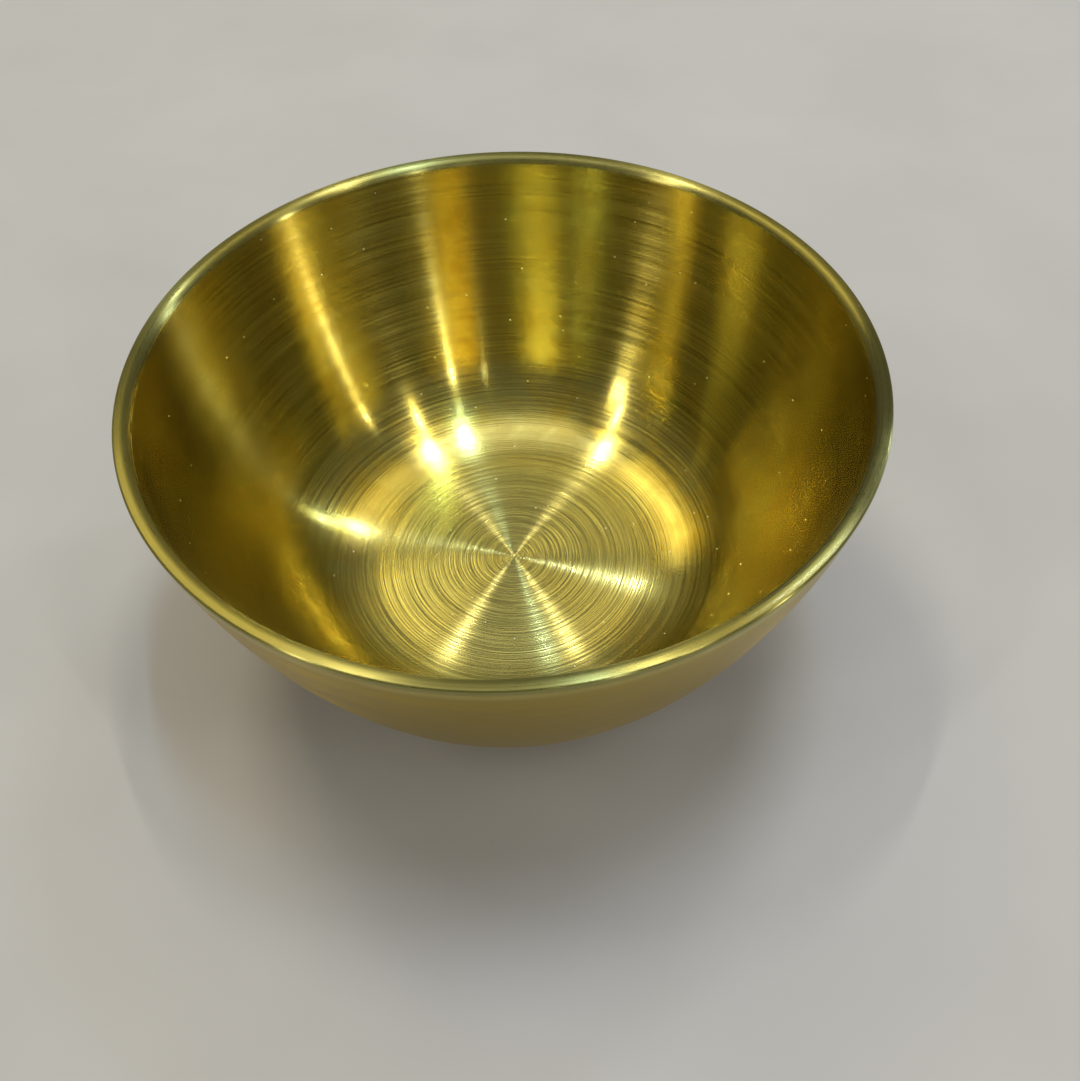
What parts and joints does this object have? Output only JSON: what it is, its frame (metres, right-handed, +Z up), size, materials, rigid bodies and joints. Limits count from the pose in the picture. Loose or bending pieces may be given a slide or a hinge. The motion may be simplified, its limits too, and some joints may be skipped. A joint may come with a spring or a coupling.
{
  "type": "offering bowl",
  "caption": "Plain round brass offering bowl with a flared, slightly bowed wall, rounded rim, flat turned floor and a low foot ring, for water, rice or flowers.",
  "frame": {"origin": "centre of the ring on which the bowl stands", "axes": "+Z is up along the bowl's axis of revolution; +X is to the right and -Y towards the viewer of the picture"},
  "size_m": [0.08, 0.08, 0.0366],
  "materials": {
    "bowl_brass": "satin, brushed round the axis",
    "foot_brass": "satin, turned",
    "braze_brass": "dull, as flowed"
  },
  "bodies": {
    "root": {"bowl": "bowl_brass", "foot_ring": "foot_brass", "braze_seam": "braze_brass"}
  },
  "joints": []
}
